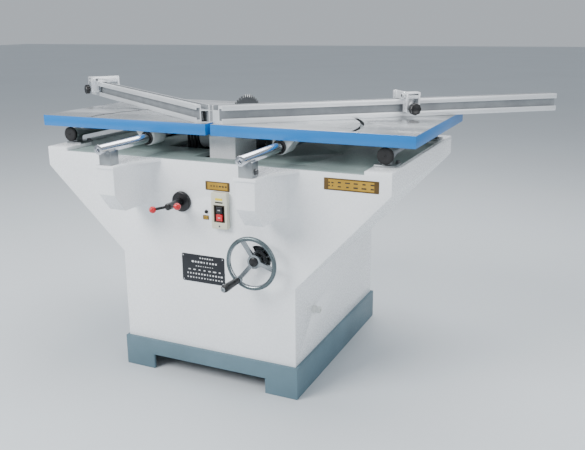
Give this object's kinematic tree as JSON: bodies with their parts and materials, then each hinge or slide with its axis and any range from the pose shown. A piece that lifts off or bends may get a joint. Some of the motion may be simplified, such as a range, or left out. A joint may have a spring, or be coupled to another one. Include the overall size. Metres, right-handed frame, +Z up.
{
  "type": "sliding table mitre saw",
  "caption": "Free-standing circular saw with a flared cabinet, two sliding tables on round rails, swinging extruded fences with flip stops, a rise-and-fall blade and a front handwheel.",
  "frame": {"origin": "on the floor in the middle of the plinth, in the plane of the saw blade", "axes": "+X to the right along the two tables, +Y to the back along the blade, +Z up"},
  "size_m": [1.9509, 1.11, 0.934],
  "materials": {
    "plinth_paint": "satin",
    "cabinet_paint": "smooth gloss",
    "bed_paint": "satin",
    "casting_paint": "satin",
    "ground_steel": "ground",
    "bright_steel": "polished",
    "rail_steel": "drawn",
    "dark_steel": "oiled",
    "pulley_iron": "machined",
    "motor_paint": "satin",
    "belt_rubber": "matt",
    "black_plastic": "moulded",
    "red_plastic": "moulded",
    "switch_plastic": "moulded",
    "bezel_plastic": "moulded",
    "gland_plastic": "moulded",
    "plate_black": "printed",
    "plate_gold": "printed",
    "rivet_metal": "bright",
    "wheel_metal": "polished",
    "fence_aluminium": "anodised"
  },
  "bodies": {
    "frame": {"plinth": "plinth_paint", "cabinet": "cabinet_paint", "bed_plate": "bed_paint", "rod_ears": "cabinet_paint", "rod_saddles": "rail_steel", "inner_rods": "bright_steel", "outer_rails": "rail_steel", "rail_brackets": "rail_steel", "rail_end_caps": "belt_rubber", "frame_bolts": "dark_steel", "nameplate": "plate_black", "label_plates": "plate_gold", "plate_rivets": "rivet_metal", "switch_housing": "switch_plastic", "switch_bezel": "bezel_plastic", "pilot_lamp": "black_plastic", "cable_gland": "gland_plastic", "rear_cover": "cabinet_paint", "shaft_bush": "rail_steel", "lever_disc": "black_plastic", "guide_columns": "bright_steel", "cross_beam": "casting_paint"},
    "start_button": {"start_button": "black_plastic"},
    "stop_button": {"stop_button": "red_plastic"},
    "lock_lever": {"lock_lever": "black_plastic"},
    "saw_unit": {"carriage": "casting_paint", "arbor_housing": "casting_paint", "arbor_bearings": "bright_steel", "motor": "motor_paint", "blade_guard": "cabinet_paint", "v_belts": "belt_rubber"},
    "arbor": {"arbor_shaft": "bright_steel", "saw_blade": "dark_steel", "blade_flanges": "rail_steel", "arbor_pulley": "pulley_iron"},
    "motor_rotor": {"motor_pulley": "pulley_iron"},
    "lift_screw": {"lift_screw": "bright_steel"},
    "handwheel": {"handwheel_shaft": "bright_steel", "handwheel": "wheel_metal"},
    "crank_handle": {"crank_handle": "black_plastic"},
    "left_table": {"left_table": "ground_steel", "left_undercarriage": "casting_paint", "left_pivot_pin": "dark_steel"},
    "left_roller": {"left_roller": "rail_steel"},
    "left_fence": {"left_fence": "fence_aluminium", "left_clamp_bracket": "fence_aluminium"},
    "left_clamp_knob": {"left_clamp_knob": "black_plastic"},
    "left_stop": {"left_stop_bracket": "fence_aluminium"},
    "left_stop_arm": {"left_stop_arm": "fence_aluminium"},
    "left_stop_knob": {"left_stop_knob": "black_plastic"},
    "right_table": {"right_table": "ground_steel", "right_undercarriage": "casting_paint", "right_pivot_pin": "dark_steel"},
    "right_roller": {"right_roller": "rail_steel"},
    "right_fence": {"right_fence": "fence_aluminium", "right_clamp_bracket": "fence_aluminium"},
    "right_clamp_knob": {"right_clamp_knob": "black_plastic"},
    "right_stop": {"right_stop_bracket": "fence_aluminium"},
    "right_stop_arm": {"right_stop_arm": "fence_aluminium"},
    "right_stop_knob": {"right_stop_knob": "black_plastic"}
  },
  "joints": [
    {"name": "lift", "type": "slide", "parent": "frame", "child": "saw_unit", "axis": [0, 0, 1], "range_m": [-0.08, 0.012]},
    {"name": "arbor_spin", "type": "hinge", "parent": "saw_unit", "child": "arbor", "pos_m": [0, -0.063, 0.768], "axis": [1, 0, 0], "continuous": true},
    {"name": "motor_spin", "type": "hinge", "parent": "saw_unit", "child": "motor_rotor", "pos_m": [-0.19, -0.063, 0.53], "axis": [1, 0, 0], "continuous": true},
    {"name": "lift_screw_turn", "type": "hinge", "parent": "frame", "child": "lift_screw", "pos_m": [0.193, 0.075, 0.5], "axis": [0, 0, 1], "range_deg": [-435, 2885]},
    {"name": "handwheel_turn", "type": "hinge", "parent": "frame", "child": "handwheel", "pos_m": [0.193, -0.4, 0.449], "axis": [0, 1, 0], "range_deg": [-2885, 435]},
    {"name": "crank_handle_spin", "type": "hinge", "parent": "handwheel", "child": "crank_handle", "pos_m": [0.14744, -0.45, 0.39069], "axis": [0, 1, 0], "continuous": true},
    {"name": "lock_lever_turn", "type": "hinge", "parent": "frame", "child": "lock_lever", "pos_m": [-0.076, -0.4, 0.607], "axis": [0, 1, 0], "range_deg": [-60, 0]},
    {"name": "start_press", "type": "slide", "parent": "frame", "child": "start_button", "axis": [0, 1, 0], "range_m": [0, 0.004], "stiffness_N_per_m": 400, "springref_m": -0.002},
    {"name": "stop_press", "type": "slide", "parent": "frame", "child": "stop_button", "axis": [0, 1, 0], "range_m": [0, 0.004], "stiffness_N_per_m": 400, "springref_m": -0.002},
    {"name": "left_table_slide", "type": "slide", "parent": "frame", "child": "left_table", "axis": [0, 1, 0], "range_m": [-0.182, 0.207]},
    {"name": "left_roller_spin", "type": "hinge", "parent": "left_table", "child": "left_roller", "pos_m": [-0.568, -0.0123, 0.813], "axis": [1, 0, 0], "range_deg": [-752, 662]},
    {"name": "left_fence_swing", "type": "hinge", "parent": "left_table", "child": "left_fence", "pos_m": [-0.038, -0.287, 0.87], "axis": [0, 0, -1], "range_deg": [-34.8, 10.2]},
    {"name": "left_clamp_turn", "type": "hinge", "parent": "left_fence", "child": "left_clamp_knob", "pos_m": [-0.37413, -0.01563, 0.87], "axis": [0, 0, 1], "range_deg": [-360, 0]},
    {"name": "left_stop_slide", "type": "slide", "parent": "left_fence", "child": "left_stop", "axis": [-0.8211, 0.5707, 0], "range_m": [-0.56, 0.068]},
    {"name": "left_stop_flip", "type": "hinge", "parent": "left_stop", "child": "left_stop_arm", "pos_m": [-0.90187, 0.26956, 0.921], "axis": [0.8211, -0.5707, 0], "range_deg": [0, 95]},
    {"name": "left_stop_knob_turn", "type": "hinge", "parent": "left_stop", "child": "left_stop_knob", "pos_m": [-0.94262, 0.25648, 0.8795], "axis": [0.5707, 0.8211, 0], "range_deg": [-360, 0]},
    {"name": "right_table_slide", "type": "slide", "parent": "frame", "child": "right_table", "axis": [0, 1, 0], "range_m": [-0.182, 0.207]},
    {"name": "right_roller_spin", "type": "hinge", "parent": "right_table", "child": "right_roller", "pos_m": [0.568, -0.0123, 0.813], "axis": [1, 0, 0], "range_deg": [-752, 662]},
    {"name": "right_fence_swing", "type": "hinge", "parent": "right_table", "child": "right_fence", "pos_m": [0.038, -0.287, 0.87], "axis": [0, 0, 1], "range_deg": [-38.7, 6.3]},
    {"name": "right_clamp_turn", "type": "hinge", "parent": "right_fence", "child": "right_clamp_knob", "pos_m": [0.35489, 0.0066, 0.87], "axis": [0, 0, 1], "range_deg": [-360, 0]},
    {"name": "right_stop_slide", "type": "slide", "parent": "right_fence", "child": "right_stop", "axis": [0.7804, 0.6252, 0], "range_m": [-0.12, 0.51]},
    {"name": "right_stop_flip", "type": "hinge", "parent": "right_stop", "child": "right_stop_arm", "pos_m": [0.51706, 0.05067, 0.921], "axis": [0.7804, 0.6252, 0], "range_deg": [0, 95]},
    {"name": "right_stop_knob_turn", "type": "hinge", "parent": "right_stop", "child": "right_stop_knob", "pos_m": [0.55861, 0.04039, 0.8795], "axis": [-0.6252, 0.7804, 0], "range_deg": [-360, 0]}
  ],
  "couplings": [
    {"joint": "lift_screw_turn", "follows": "lift", "rad_per_m": -628.32},
    {"joint": "handwheel_turn", "follows": "lift", "rad_per_m": 628.32},
    {"joint": "motor_spin", "follows": "arbor_spin", "ratio": 0.6229},
    {"joint": "left_roller_spin", "follows": "left_table_slide", "rad_per_m": -62.9},
    {"joint": "right_roller_spin", "follows": "right_table_slide", "rad_per_m": -62.9}
  ]
}
